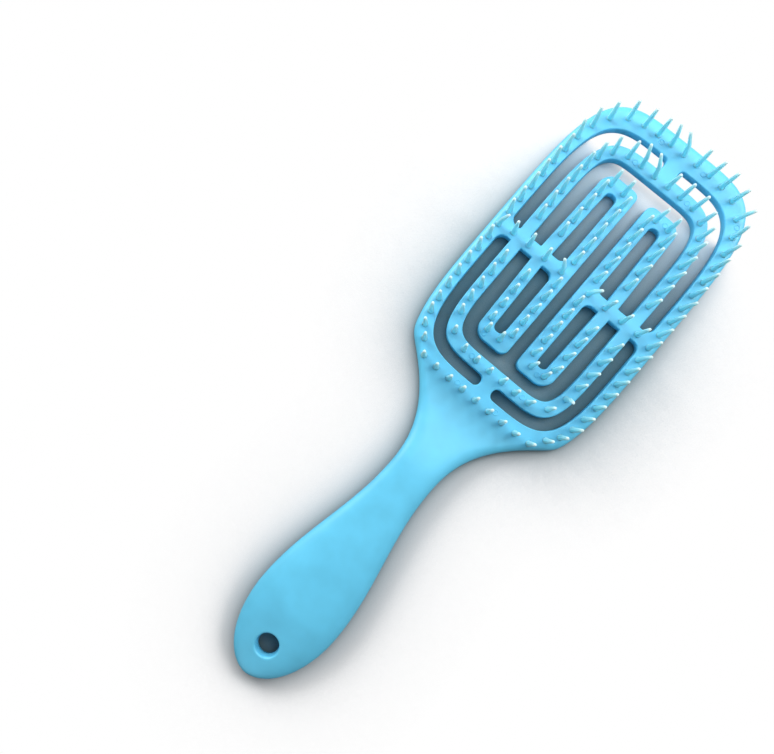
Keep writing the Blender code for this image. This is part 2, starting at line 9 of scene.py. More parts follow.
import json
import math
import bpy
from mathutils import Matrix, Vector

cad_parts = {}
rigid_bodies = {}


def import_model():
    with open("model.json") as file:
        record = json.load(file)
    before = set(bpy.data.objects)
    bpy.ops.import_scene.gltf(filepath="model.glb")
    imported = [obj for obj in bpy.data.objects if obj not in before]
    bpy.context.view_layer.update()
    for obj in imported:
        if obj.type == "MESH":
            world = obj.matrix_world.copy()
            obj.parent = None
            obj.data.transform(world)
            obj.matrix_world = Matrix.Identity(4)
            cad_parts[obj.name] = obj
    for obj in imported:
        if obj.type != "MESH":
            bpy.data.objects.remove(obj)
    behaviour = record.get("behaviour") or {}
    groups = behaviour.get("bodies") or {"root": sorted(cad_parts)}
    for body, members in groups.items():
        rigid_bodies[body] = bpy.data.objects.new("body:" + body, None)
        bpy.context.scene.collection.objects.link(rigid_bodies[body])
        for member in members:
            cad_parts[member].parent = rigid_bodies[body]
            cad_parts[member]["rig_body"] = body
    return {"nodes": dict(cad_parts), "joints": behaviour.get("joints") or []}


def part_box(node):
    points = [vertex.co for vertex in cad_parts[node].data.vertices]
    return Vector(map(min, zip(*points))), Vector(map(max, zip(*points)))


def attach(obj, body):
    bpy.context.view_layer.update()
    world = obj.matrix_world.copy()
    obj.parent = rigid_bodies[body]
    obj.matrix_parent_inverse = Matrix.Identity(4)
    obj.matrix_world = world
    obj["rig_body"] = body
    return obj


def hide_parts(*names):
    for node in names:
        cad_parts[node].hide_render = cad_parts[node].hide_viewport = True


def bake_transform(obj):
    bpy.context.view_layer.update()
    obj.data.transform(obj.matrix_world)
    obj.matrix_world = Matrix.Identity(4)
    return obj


bl_info = {
    "name": "Vented hair brush",
    "version": (1, 0, 0),
    "blender": (4, 5, 0),
    "location": "3D View > Sidebar > Brush",
    "description": "Builds a moulded vented hair brush over its packed frame",
    "category": "Add Mesh",
}

from typing import NamedTuple

import bmesh
import bpy
import numpy as np
from bpy.props import FloatProperty, FloatVectorProperty, IntProperty, PointerProperty
from mathutils import Euler, Vector

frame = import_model()

MM = 0.001
WHITE = (1.0, 1.0, 1.0, 1.0)

# How finely the meshes are made: the first two in metres, other lengths in millimetres
WELD_DISTANCE = 2e-6
LEVEL_TOLERANCE = 1e-7
SHARP_EDGE_ANGLE = math.radians(40)
RUN_STEP = 0.7
SAME_POINT = 1e-6
TINY = 1e-9
OUTLINE_POINTS = 1600
SIDE_POINTS = 600
ROUND_TURN_STEPS = 4
ROUND_TURN_DENSITY = 1.6
LEAST_SIDEWAYS = 0.2
RIM_EDGE_STEPS = 6
RIB_EDGE_STEPS = 4
EDGE_LIP = 0.08
NECK_SECTIONS = 13
GRIP_ROWS = 93
END_ROWS = 27
BLUNT_ROWS = 10
BLUNT_COSINE = 0.2
LAST_COSINE = 0.004
INNER_COLUMNS = 15
COLUMN_RATE = 1.6
HOLE_RINGS = 6
LIP_RINGS = 6
MARK_SIDES = 20
TIP_TOLERANCE = 0.05
TIP_REACH = 1.0


def reach(node, corner, axis):
    """A side of a CAD node's box, in millimetres: corner 0 is the lowest and 1 the highest."""
    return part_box(node)[corner][axis] / MM


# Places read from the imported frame
GAP = 0.3
HINGE = next(joint for joint in frame["joints"] if joint["name"] == "right_loop_flex")["pos_m"]
LOOP_OUTER_X = HINGE[0] / MM
CENTRE_Y = HINGE[1] / MM
PLATE_TOP = reach("top_bridge", 1, 2)
LOOP_INNER_X = reach("right_loop_web", 0, 0)
HOOP_X = reach("hoop_right_upper_side", 1, 0)
SIDE_SLOT_X = reach("right_crossbar", 1, 0) + GAP
RIM_X = reach("rim_right_upper_side", 1, 0)
LOOP_UP = reach("right_loop_upper_end", 1, 1) - CENTRE_Y
LOOP_DOWN = CENTRE_Y - reach("right_loop_lower_end", 0, 1)
HOOP_UP = reach("top_bridge", 0, 1) - GAP - CENTRE_Y
HOOP_DOWN = CENTRE_Y - reach("bottom_bridge", 1, 1) - GAP
SIDE_SLOT_UP = reach("top_bridge", 1, 1) + GAP - CENTRE_Y
SIDE_SLOT_DOWN = CENTRE_Y - reach("bottom_bridge", 0, 1) + GAP
RIM_UP = reach("rim_top_bar", 1, 1) - CENTRE_Y
CUT_Y = reach("handle", 1, 1) - CENTRE_Y
HANDLE_END_Y = reach("handle", 0, 1) - CENTRE_Y
PIN_TOP = reach("hoop_top_bar", 1, 2)

# The rest of the plan, in millimetres
WINDOW_X = 22.55
WINDOW_UP = 44.8
WINDOW_DOWN = 40.9
SLOT_INNER_X = 7.6
SLOT_OUTER_X = 12.9
LOOP_SLOT_UP = 33.1
LOOP_SLOT_DOWN = 31.0
OUTER_ARM_LEAN = 0.95
RIM_REACH_DOWN = 62.35
HALF_CROSSBAR = 2.6
HALF_TOP_BRIDGE = 3.0
HALF_BOTTOM_BRIDGE = 2.75
NECK_START_X = 21.95
NECK_END_X = 18.25
CORNER_RADIUS = 0.3
CROSSBAR_FILLET = 3.0
TOP_BRIDGE_FILLET = 1.7
BOTTOM_BRIDGE_FILLET = 2.1
LOOP_OUTER_CORNER = 5.2
LOOP_INNER_CORNER = 2.8
SLOT_END_RADIUS = 1.95
SLOT_WEB_FILLET = 2.7

# Handle and its joint with the rim, in millimetres, with the powers and shares of its curves
NECK_Y = -89.6
BELLY_Y = -148.7
SHOULDER_Y = -50.5
SHOULDER_POWER = 2.3
SHOULDER_BLEND = 1.0
SHOULDER_FADE = 4.0
NECK_HALF_WIDTH = 8.7
BELLY_HALF_WIDTH = 16.7
NECK_TOP = 8.7
NECK_LIFT = 0.5
BELLY_THICKNESS = 10.4
END_THICKNESS = 5.8
END_LIFT = 1.6
END_TAPER = 0.15
END_SOFTENING = 0.1
PARTING_WALL = 0.5
PLATE_POWER = 2.0
NECK_POWER = 3.0
BELLY_POWER = 2.5
SHEAR_LENGTH = 10.0
SIDE_END_Y = -30.0
HOLE_Y = -164.9
HOLE_WAIST_RADIUS = 3.75
HOLE_MOUTH_RADIUS = 4.2
HOLE_RIM_RADIUS = 4.9
HOLE_PATCH = 7.4

# Pins bent in use, in millimetres: the root in plan, and how far the tip leans
BENT_PINS = (
    ((-5.8, 59.6), (-2.1, 0.5)),
    ((0.4, 59.6), (-3.9, 0.3)),
    ((29.6, 55.7), (1.1, -0.5)),
    ((-8.6, 47.8), (-2.4, 1.3)),
    ((-2.8, 47.6), (-3.7, 0.8)),
    ((-34.7, -0.9), (2.1, 0.6)),
    ((-4.9, 0.0), (-2.3, 0.0)),
    ((4.6, 0.0), (2.1, -0.1)),
    ((24.3, -32.8), (0.7, -1.7)),
)
BENT_PIN_REACH = 2.6
LEAN_POWER = 1.8
LEAN_SEED = 7

# A pin's sections in millimetres and shares: its sunk foot, its flare, its taper and its rounded tip
PIN_SUNK = 0.9
FLARE = 0.3
FLARE_FOOT = -0.02
FLARE_WAIST = (0.12, 0.12)
FLARE_TOP = 0.5
TAPER_MIDDLE = (0.5, 0.45)
TIP_SHOULDER = 0.45
TIP_ROUND = (0.1, 0.62)

# An ejector pin mark, in millimetres: a low ring, with how far its steps lie within its radius
MARK_SUNK = 0.3
MARK_FLOOR = 0.02
MARK_STEPS = (0.12, 0.26, 0.38)

# Ejector pin marks in plan, in millimetres, by the body that they are on
EJECTOR_MARKS = {
    "frame": (
        *((-9.0, 59.0), (9.6, 59.2), (-11.5, 47.3), (11.9, 47.5), (30.8, 51.9)),
        *((-8.8, -53.7), (8.2, -53.2), (-10.9, -43.2), (11.9, -43.0)),
    ),
    "right_loop": ((11.2, 36.3), (10.8, -33.6)),
    "left_loop": ((-12.9, -34.3),),
}

# Plastic. MOTTLING and GRAIN are a size in millimetres and a detail. Grain depth and scatter are in
# millimetres, and the pins' paling is shares of a pin's height with shares of the tip's colour: painted
# light, a painted glow through thin plastic that pales to a painted highlight at the tip.
PLASTIC_IOR = 1.49
MOTTLING = (9.0, 2.0)
MOTTLE_LOW = 0.3
MOTTLE_HIGH = 0.7
SHEEN_SPREAD = 0.04
COLOUR_DEPTH = (0.94, 1.04)
GRAIN = (0.3, 1.0)
GRAIN_STRENGTH = 0.25
GRAIN_DEPTH = 0.01
PIN_SCATTER = 2.2
PIN_PAINTED_PALING = ((0.2, 0.0), (0.86, 0.35))

# Paper and lights, in metres. The paper's painted shade fades out between the y of OPEN_TIP, and to
# HANDLE_SHADE between those of OPEN_HANDLE. WHITE_RANGE is of the openness at which the camera sees the
# paper turn plain white, and BOUNCE_SHARE is how much of the paper's colour other rays see, a painted
# dimming of its bounce light.
FLOOR_SIZE = 6.0
FLOOR_Z = -0.0001
OPEN_TIP = (0.045, 0.102)
OPEN_HANDLE = (-0.03, 0.02)
HANDLE_SHADE = 0.55
SHADE_SAMPLES = 16
WHITE_RANGE = (0.84, 0.995)
BOUNCE_SHARE = 0.35
PAPER_ROUGHNESS = 0.9
PAPER_SPECULAR = 0.2
LIGHT_SIZE = 0.4
LIGHT_PLACES = {
    "left": (-0.54, 0.20, 0.26),
    "right": (0.32, 0.44, 0.34),
    "back": (0.0, -0.75, 0.45),
    "overhead": (0.0, 0.27, 0.48),
}

# Camera, in metres, degrees and millimetres
CAMERA_PLACE = (-0.011291, -0.020283, 0.272)
CAMERA_TURN = (3.770, 1.719, 40.62)
CAMERA_LENS = 35.35
SENSOR_WIDTH = 36.0


class Outline(NamedTuple):
    """A superellipse with its own reach and power towards the tip and towards the handle."""

    half_width: float
    up: float
    down: float
    power_up: float
    power_down: float

    def ends(self, upwards):
        """Reach b and power n of the half towards the tip or towards the handle."""
        reach_there = np.where(upwards, self.up, self.down)
        power = np.where(upwards, self.power_up, self.power_down).astype(float)
        return reach_there, power

    def x_at(self, y):
        """Half width where y is, a(1 - |y/b|^n)^(1/n)."""
        y = np.asarray(y, float)
        reach_there, power = self.ends(y > 0)
        share = np.clip(np.abs(y) / reach_there, 0, 1)
        return self.half_width * (1 - share**power) ** (1 / power)

    def y_at(self, x, upwards):
        """y where x is, b(1 - |x/a|^n)^(1/n), on the half towards the tip or towards the handle."""
        reach_there, power = self.ends(upwards)
        share = min(1.0, abs(x) / self.half_width)
        y = reach_there * (1 - share**power) ** (1 / power)
        return float(y if upwards else -y)

    def between(self, first, last, turn):
        """Points from first to last, both on the outline, turning by turn (1 is anticlockwise).

        At a polar angle A the radius is (|cos A / a|^n + |sin A / b|^n)^(-1/n).
        """
        start = math.atan2(first[1], first[0])
        end = math.atan2(last[1], last[0])
        span = (end - start) * turn % math.tau
        angles = start + turn * span * np.linspace(0, 1, OUTLINE_POINTS)
        cosine, sine = np.cos(angles), np.sin(angles)
        reach_there, power = self.ends(sine > 0)
        across, along = np.abs(cosine / self.half_width), np.abs(sine / reach_there)
        radius = (across**power + along**power) ** (-1 / power)
        points = np.column_stack([radius * cosine, radius * sine])
        points[0], points[-1] = first, last
        return points


RIM = Outline(RIM_X, RIM_UP, RIM_REACH_DOWN, power_up=4.6, power_down=4)
SIDE_SLOT = Outline(SIDE_SLOT_X, SIDE_SLOT_UP, SIDE_SLOT_DOWN, power_up=5, power_down=5)
HOOP = Outline(HOOP_X, HOOP_UP, HOOP_DOWN, power_up=5, power_down=6)
WINDOW = Outline(WINDOW_X, WINDOW_UP, WINDOW_DOWN, power_up=7, power_down=7)


def unit(vector):
    """The vector divided by its length."""
    return vector / np.linalg.norm(vector)


def smooth(share):
    """From 0 to 1 with level ends, 3t^2 - 2t^3."""
    share = np.clip(share, 0, 1)
    return share * share * (3 - 2 * share)


def ease(share):
    """Half a cosine wave from 0 to 1."""
    return (1 - np.cos(np.pi * np.clip(share, 0, 1))) / 2


def mix(first, last, share):
    """From first at share 0 to last at share 1, in a straight line."""
    return first + (last - first) * share


def lengths(points):
    """Distance along a line of points, at each of them."""
    steps = np.linalg.norm(np.diff(points, axis=0), axis=1)
    return np.concatenate([[0.0], np.cumsum(steps)])


def evenly(points):
    """The same line with its points at even distances near RUN_STEP."""
    along = lengths(points)
    count = max(2, int(round(along[-1] / RUN_STEP)) + 1)
    places = np.linspace(0, along[-1], count)
    return np.column_stack([np.interp(places, along, points[:, axis]) for axis in (0, 1)])


def cut_back(points, distance):
    """A line of points without the stretch of that length at its end."""
    along = lengths(points)
    kept = points[along < along[-1] - distance - TINY]
    end = [np.interp(along[-1] - distance, along, points[:, axis]) for axis in (0, 1)]
    return np.vstack([kept, end])


def straight(*corners):
    """A stretch that runs straight from corner to corner."""
    return np.array(corners, float)


def straights(*corners):
    """One straight stretch from each corner to the next."""
    return [straight(first, last) for first, last in zip(corners, corners[1:])]


def rounded_run(stretches, radii, closed=False):
    """One run out of stretches that meet end to end, with its corners rounded.

    Both sides of a corner C are cut back by radius * tan(half its turn), to A and B. The conic
    ((1-t)^2 A + 2w t(1-t) C + t^2 B) / ((1-t)^2 + 2w t(1-t) + t^2) bridges them, where w is the cosine of
    half the turn, which gives a circle's arc between straight sides.
    """
    pieces = [np.asarray(stretch, float) for stretch in stretches]
    count = len(pieces)
    corners = []
    for i, radius in enumerate(radii):
        following = (i + 1) % count
        corner = pieces[i][-1].copy()
        arriving = unit(pieces[i][-1] - pieces[i][-2])
        leaving = unit(pieces[following][1] - pieces[following][0])
        half_turn = math.acos(float(np.clip(arriving @ leaving, -1, 1))) / 2
        corners.append((corner, half_turn, radius * math.tan(half_turn)))
    for i, (_, _, back) in enumerate(corners):
        following = (i + 1) % count
        pieces[i] = cut_back(pieces[i], back)
        pieces[following] = cut_back(pieces[following][::-1], back)[::-1]
    parts = []
    for i, piece in enumerate(pieces):
        parts.append(evenly(piece))
        if i < len(corners):
            corner, half_turn, _ = corners[i]
            steps = int(round(2 * half_turn * radii[i] / RUN_STEP * ROUND_TURN_DENSITY))
            t = np.linspace(0, 1, max(ROUND_TURN_STEPS, steps) + 1)[1:-1, None]
            last = pieces[(i + 1) % count][0]
            near, pull, far = (1 - t) ** 2, 2 * math.cos(half_turn) * t * (1 - t), t**2
            parts.append((near * piece[-1] + pull * corner + far * last) / (near + pull + far))
    run = np.vstack(parts)
    apart = np.linalg.norm(np.diff(run, axis=0), axis=1) > SAME_POINT
    run = run[np.concatenate([[True], apart])]
    if closed and np.linalg.norm(run[0] - run[-1]) < SAME_POINT:
        run = run[:-1]
    return run


def mirrored_run(run):
    """The run on the other side of the brush, turned round so that its plate stays on the left."""
    return (run * (-1, 1))[::-1]


def inward(run, closed):
    """Step into the plate at each point of a run that keeps both of its segments' distances.

    With n1 and n2 the left normals before and after the point, it is (n1 + n2) / (1 + n1.n2).
    """
    ahead = np.roll(run, -1, axis=0) - run
    normals = np.column_stack([-ahead[:, 1], ahead[:, 0]])
    normals /= np.maximum(np.linalg.norm(normals, axis=1, keepdims=True), TINY)
    before = np.roll(normals, 1, axis=0)
    if not closed:
        normals[-1] = normals[-2]
        before[0] = normals[0]
    return (normals + before) / (1 + np.sum(normals * before, axis=1, keepdims=True))


def edge_profile(top, bottom, steps):
    """Inset and height from the plate's underside round its edge to its top, in millimetres.

    top and bottom are (inset, height) of two quarter ellipses, inset(1 - cos t) and height(1 - sin t). A
    narrow flat lip ends both, so that the flat faces beyond it shade flat.
    """
    turns = np.linspace(0, np.pi / 2, steps + 1)
    inset, fall = 1 - np.cos(turns), 1 - np.sin(turns)
    insets = [[bottom[0] + EDGE_LIP], bottom[0] * inset[::-1], top[0] * inset, [top[0] + EDGE_LIP]]
    heights = [[0.0], bottom[1] * fall[::-1], PLATE_TOP - top[1] * fall, [PLATE_TOP]]
    return np.concatenate(insets), np.concatenate(heights)


class Surface:
    """Grids of points in plan millimetres, gathered for one mesh and welded where they meet."""

    def __init__(self):
        self.points = []
        self.quads = []
        self.caps = []
        self.count = 0

    def grid(self, points, wrap=False, kept=None):
        """Quads over rows x columns x 3 points. wrap joins the last row to the first."""
        rows, columns = points.shape[:2]
        index = self.count + np.arange(rows * columns).reshape(rows, columns)
        looped = np.vstack([index, index[:1]]) if wrap else index
        corners = (looped[:-1, :-1], looped[:-1, 1:], looped[1:, 1:], looped[1:, :-1])
        quads = np.stack(corners, axis=-1)
        self.quads.append(quads.reshape(-1, 4) if kept is None else quads[kept])
        self.points.append(points.reshape(-1, 3))
        self.count += rows * columns
        return index

    def band(self, run, profile, closed=False, steps_in=None):
        """An edge profile carried along a run: the point at inset a is run + a * the inward step."""
        insets, heights = profile
        steps_in = inward(run, closed) if steps_in is None else steps_in
        plan = run[:, None, :] + insets[None, :, None] * steps_in[:, None, :]
        tall = np.broadcast_to(heights[None, :, None], (len(run), len(insets), 1))
        return self.grid(np.concatenate([plan, tall], axis=2), wrap=closed)

    def cap(self, index):
        """One flat face over a closed loop of points."""
        self.caps.append([int(i) for i in index])

    def mesh(self, name, flats=()):
        """The welded and closed mesh in metres. flats are heights at which the open edges are filled."""
        points = np.concatenate(self.points)
        points[:, 1] += CENTRE_Y
        faces = np.concatenate(self.quads).tolist() + self.caps
        made = bpy.data.meshes.new(name)
        made.from_pydata((points * MM).tolist(), [], faces)
        shell = bmesh.new()
        shell.from_mesh(made)
        bmesh.ops.remove_doubles(shell, verts=shell.verts, dist=WELD_DISTANCE)
        for height in flats:
            level = height * MM
            edges = [
                edge
                for edge in shell.edges
                if edge.is_boundary and all(abs(end.co.z - level) < LEVEL_TOLERANCE for end in edge.verts)
            ]
            bmesh.ops.triangle_fill(shell, use_beauty=True, edges=edges)
        bmesh.ops.recalc_face_normals(shell, faces=shell.faces)
        open_edges = sum(not edge.is_manifold for edge in shell.edges)
        if open_edges:
            raise RuntimeError(f"{name} has {open_edges} open edges")
        shell.to_mesh(made)
        shell.free()
        return made


def placed(name, data):
    """A new object in the scene, at the origin."""
    made = bpy.data.objects.new(name, data)
    bpy.context.scene.collection.objects.link(made)
    return made


def finished(name, surface, material, flats=()):
    """The piece as an object at the origin: smooth, but for edges that turn more than 40 degrees."""
    mesh = surface.mesh(name, flats)
    mesh.shade_smooth()
    mesh.set_sharp_from_angle(angle=SHARP_EDGE_ANGLE)
    mesh.materials.append(material)
    piece = placed(name, mesh)
    return piece


def half_width(y):
    """Half width of the brush in plan at each y, in millimetres.

    Above the crossbars it is the rim. Below, the shoulder m + (s - m) t^2.3 runs from the neck's half width
    m to the rim's s, and where both meet, the lesser less log(1 + exp(-difference)) rounds the corner.
    Below the neck the grip swells on half a cosine wave, and from the belly it is a half ellipse.
    """
    y = np.asarray(y, float)
    rim = RIM.x_at(np.maximum(y, -RIM_REACH_DOWN))
    share = np.clip((y - NECK_Y) / (SHOULDER_Y - NECK_Y), 0, None)
    shoulder = mix(NECK_HALF_WIDTH, RIM.x_at(SHOULDER_Y), share**SHOULDER_POWER)
    corner = SHOULDER_BLEND * np.log1p(np.exp(-np.abs(rim - shoulder) / SHOULDER_BLEND))
    joined = np.minimum(rim, shoulder) - corner * smooth((y - CUT_Y) / SHOULDER_FADE)
    _, to_belly, past, _ = handle_shares(y)
    grip = mix(NECK_HALF_WIDTH, BELLY_HALF_WIDTH, to_belly) * np.sqrt(np.maximum(0, 1 - past**2))
    width = np.where(y > CUT_Y, joined, np.where(y > NECK_Y, shoulder, grip))
    return np.where(y > 0, rim, width)


def shoulder_cosine(y):
    """Cosine of the angle between the shoulder's edge and the brush's length, 1 from the neck down."""
    y = np.asarray(y, float)
    share = np.clip((y - NECK_Y) / (SHOULDER_Y - NECK_Y), 0, None)
    span = RIM.x_at(SHOULDER_Y) - NECK_HALF_WIDTH
    slope = span * SHOULDER_POWER * share ** (SHOULDER_POWER - 1) / (SHOULDER_Y - NECK_Y)
    return 1 / np.sqrt(1 + slope**2)


def handle_shares(y):
    """How far each y is from the cut to the neck, on to the belly, and on to the end, plainly and softly."""
    to_neck = ease((CUT_Y - y) / (CUT_Y - NECK_Y))
    to_belly = ease((NECK_Y - y) / (NECK_Y - BELLY_Y))
    past = np.clip((BELLY_Y - y) / (BELLY_Y - HANDLE_END_Y), 0, 1)
    whole = math.hypot(1, END_SOFTENING) - END_SOFTENING
    soft = (np.hypot(past, END_SOFTENING) - END_SOFTENING) / whole
    return to_neck, to_belly, past, soft


def handle_faces(y, rim_top, rim_bottom):
    """Heights of the crown, of both sides of the parting wall and of the underside, at each y."""
    to_neck, to_belly, past, soft = handle_shares(y)
    taper = np.maximum(0, 1 - past**2) ** END_TAPER
    thickness_loss = (END_THICKNESS - BELLY_THICKNESS) * soft
    top = PLATE_TOP + (NECK_TOP - PLATE_TOP) * to_neck + (BELLY_THICKNESS - NECK_TOP) * to_belly
    bottom = NECK_LIFT * (to_neck - to_belly)
    middle = (top + bottom) / 2 + END_LIFT * soft + thickness_loss / 2
    half = ((top - bottom) / 2 + thickness_loss / 2) * taper
    plate_middle = (rim_bottom[1] + PLATE_TOP - rim_top[1]) / 2
    plate_half = (PLATE_TOP - rim_top[1] - rim_bottom[1]) / 2
    seam = mix(plate_middle, middle, to_neck)
    wall = mix(plate_half, PARTING_WALL / 2, to_neck) * taper
    return middle + half, seam + wall, seam - wall, middle - half


def handle_height(x, y, rim_top, rim_bottom, upper):
    """Height of the handle's top or underside at plan points.

    At a distance s from the edge, with q = max(0, 1 - s/a), it is edge + (crown - edge)(1 - q^n)^(1/n).
    The rounded margin a grows from the rim's edge radius to half the handle's width at the neck, and the
    power n from 2 to 3 at the neck and 2.5 at the belly.
    """
    to_neck, to_belly, _, _ = handle_shares(y)
    crown, wall_top, wall_bottom, underside = handle_faces(y, rim_top, rim_bottom)
    width, cosine = half_width(y), shoulder_cosine(y)
    first_margin = rim_top[0] if upper else rim_bottom[0]
    margin = mix(first_margin, width * cosine, to_neck)
    power = mix(PLATE_POWER, NECK_POWER, to_neck) + (BELLY_POWER - NECK_POWER) * to_belly
    inset = np.maximum(0, width - np.abs(x)) * cosine
    share = np.clip(1 - inset / np.maximum(margin, TINY), 0, 1)
    rise = np.maximum(0, 1 - share**power) ** (1 / power)
    edge, far = (wall_top, crown) if upper else (wall_bottom, underside)
    return edge + (far - edge) * rise


def handle_columns(y, margin):
    """Plan x of the handle's grid on its right half, from the edge to the middle, for each y.

    At the cut the columns stand where the rim's edge profile has its points. Towards the neck they move to
    w(1 - cos t), even turns of t.
    """
    width, cosine = half_width(y)[:, None], shoulder_cosine(y)[:, None]
    turns = np.linspace(0, np.pi / 2, RIM_EDGE_STEPS + 1)
    arc = margin * (1 - np.cos(turns))[None, :] / cosine
    lip = (margin + EDGE_LIP) / cosine
    inner = lip + (width - lip) * np.linspace(0, 1, INNER_COLUMNS + 1)[None, 1:]
    at_plate = np.minimum(np.concatenate([arc, lip, inner], axis=1), width)
    turns = np.linspace(0, np.pi / 2, at_plate.shape[1])
    at_neck = width * (1 - np.cos(turns))[None, :]
    to_neck = smooth((CUT_Y - y) / (CUT_Y - NECK_Y) * COLUMN_RATE)[:, None]
    inset = mix(at_plate, at_neck, to_neck)
    inset[:, -1] = width[:, 0]
    return width - inset


def outer_run():
    """The brush's outline above the handle, from its right end round the tip to its left end.

    Up to y = -30 mm it is half_width(y), and from there on the rim's superellipse. Within 10 mm of the
    handle the steps into the plate turn straight across, as the rows of the handle's grid lie.
    """
    low_y = np.linspace(CUT_Y, SIDE_END_Y, SIDE_POINTS)
    side = np.column_stack([half_width(low_y), low_y])
    tip = RIM.between(side[-1], side[-1] * (-1, 1), 1)
    run = evenly(np.vstack([side[:-1], tip, (side * (-1, 1))[::-1][1:]]))
    steps_in = inward(run, closed=False)
    sideways = steps_in[:, 0] / np.linalg.norm(steps_in, axis=1)
    sideways = np.where(np.abs(sideways) < LEAST_SIDEWAYS, 1.0, sideways)
    across = np.column_stack([1 / sideways, np.zeros(len(run))])
    along = lengths(run)
    share = smooth(np.minimum(along, along[-1] - along) / SHEAR_LENGTH)[:, None]
    steps_in = mix(across, steps_in, share)
    end_step = 1 / float(shoulder_cosine(CUT_Y))
    steps_in[0], steps_in[-1] = (-end_step, 0), (end_step, 0)
    return run, steps_in


def side_slot_runs():
    """The four openings between hoop and rim, closed, each between a bridge and a crossbar."""
    hoop_side, rim_side = float(HOOP.x_at(HALF_CROSSBAR)), float(SIDE_SLOT.x_at(HALF_CROSSBAR))
    bridges = ((1, HALF_TOP_BRIDGE, TOP_BRIDGE_FILLET), (-1, HALF_BOTTOM_BRIDGE, BOTTOM_BRIDGE_FILLET))
    runs = []
    for up, bridge, fillet in bridges:
        y = up * HALF_CROSSBAR
        first, second = ((hoop_side, y), (bridge, HOOP.y_at(bridge, up > 0)))[::up]
        third, fourth = ((bridge, SIDE_SLOT.y_at(bridge, up > 0)), (rim_side, y))[::up]
        stretches = (
            HOOP.between(first, second, 1),
            straight(second, third),
            SIDE_SLOT.between(third, fourth, -1),
            straight(fourth, first),
        )
        radii = (fillet, fillet, CROSSBAR_FILLET, CORNER_RADIUS)[::up]
        runs.append(rounded_run(stretches, radii, closed=True))
    return runs + [mirrored_run(run) for run in runs]


def window_runs():
    """The hoop's inner edge above and below the crossbars, each from neck to neck."""
    hoop_side = float(WINDOW.x_at(HALF_CROSSBAR))
    runs = []
    for up in (1, -1):
        y, side, start = up * HALF_CROSSBAR, up * hoop_side, up * NECK_START_X
        stretches = (
            straight((-start, y), (-side, y)),
            WINDOW.between((-side, y), (side, y), -1),
            straight((side, y), (start, y)),
        )
        runs.append(rounded_run(stretches, (CORNER_RADIUS, CORNER_RADIUS)))
    return runs


def slot_run(up, length):
    """The right loop's slot above its crossbar, or below it where up is -1."""
    y, end = up * HALF_CROSSBAR, up * length
    root = SLOT_OUTER_X - OUTER_ARM_LEAN * HALF_CROSSBAR / length
    tip = SLOT_OUTER_X - OUTER_ARM_LEAN
    corners = ((SLOT_INNER_X, y), (SLOT_INNER_X, end), (tip, end), (root, y))[::up]
    feet = (CORNER_RADIUS, SLOT_WEB_FILLET)[::up]
    radii = (SLOT_END_RADIUS, SLOT_END_RADIUS, *feet)
    return rounded_run(straights(*corners, corners[0]), radii, closed=True)


def loop_runs():
    """The right loop's outline, from its neck round both ends, and its two slots."""
    y, end = HALF_CROSSBAR, NECK_END_X
    inner, tip = LOOP_INNER_X, LOOP_OUTER_X - OUTER_ARM_LEAN
    upper, lower = (LOOP_OUTER_X - OUTER_ARM_LEAN * y / arm for arm in (LOOP_SLOT_UP, LOOP_SLOT_DOWN))
    stretches = (
        straight((end, y), (upper, y)),
        straight((upper, y), (tip, LOOP_SLOT_UP), (tip, LOOP_UP)),
        *straights((tip, LOOP_UP), (inner, LOOP_UP), (inner, -LOOP_DOWN), (tip, -LOOP_DOWN)),
        straight((tip, -LOOP_DOWN), (tip, -LOOP_SLOT_DOWN), (lower, -y)),
        straight((lower, -y), (end, -y)),
    )
    radii = (CORNER_RADIUS, LOOP_OUTER_CORNER, LOOP_INNER_CORNER)
    outline = rounded_run(stretches, (*radii, *radii[::-1]))
    return outline, slot_run(1, LOOP_SLOT_UP), slot_run(-1, LOOP_SLOT_DOWN)


def handle_rows():
    """Places along the handle: 1 mm apart down to the belly, then on a quarter turn, denser at the end."""
    grip = np.linspace(CUT_Y, BELLY_Y, GRIP_ROWS)
    cosine = np.cos(np.linspace(0, math.acos(BLUNT_COSINE), END_ROWS)[1:])
    power = 2 * END_TAPER
    blunt = (BLUNT_COSINE**power * np.linspace(1, 0, BLUNT_ROWS)[1:]) ** (1 / power)
    cosine = np.concatenate([cosine, blunt[blunt > LAST_COSINE], [0.0]])
    return np.concatenate([grip, BELLY_Y + (HANDLE_END_Y - BELLY_Y) * np.sqrt(1 - cosine**2)])


def hole_surface(x, y, rim_top, rim_bottom):
    """Rings from a loop of plan points on the top, through the hanging hole, to the same loop underneath.

    Around the hole's centre the rings keep the loop's polar angles. Their radius runs from the loop's to
    4.9 mm, then is 4.9 - 0.7 sin t at a depth of 0.7(1 - cos t) round the lip, and a straight wall leads to
    the waist.
    """
    angles, radii = np.arctan2(y - HOLE_Y, x), np.hypot(x, y - HOLE_Y)
    lip = HOLE_RIM_RADIUS - HOLE_MOUTH_RADIUS

    def plan(radius):
        return radius * np.cos(angles), HOLE_Y + radius * np.sin(angles)

    halves, mouths = [], []
    for upper in (True, False):
        rings = []
        for share in np.linspace(0, 1, HOLE_RINGS):
            ring = plan(mix(radii, HOLE_RIM_RADIUS, share))
            rings.append((*ring, handle_height(*ring, rim_top, rim_bottom, upper)))
        mouths.append(rings[-1][2])
        halves.append(rings)
    middle = (mouths[0] + mouths[1]) / 2
    for rings, mouth, down in zip(halves, mouths, (-1, 1)):
        for turn in np.linspace(0, np.pi / 2, LIP_RINGS + 1)[1:]:
            ring = plan(HOLE_RIM_RADIUS - lip * math.sin(turn))
            rings.append((*ring, mouth + down * lip * (1 - math.cos(turn))))
        ring = plan((HOLE_MOUTH_RADIUS + HOLE_WAIST_RADIUS) / 2)
        rings.append((*ring, (mouth + down * lip + middle) / 2))
    waist = (*plan(HOLE_WAIST_RADIUS), middle)
    rings = np.array([*halves[0], waist, *halves[1][::-1]])
    closed = np.concatenate([rings, rings[:, :, :1]], axis=2)
    return closed.transpose(0, 2, 1)


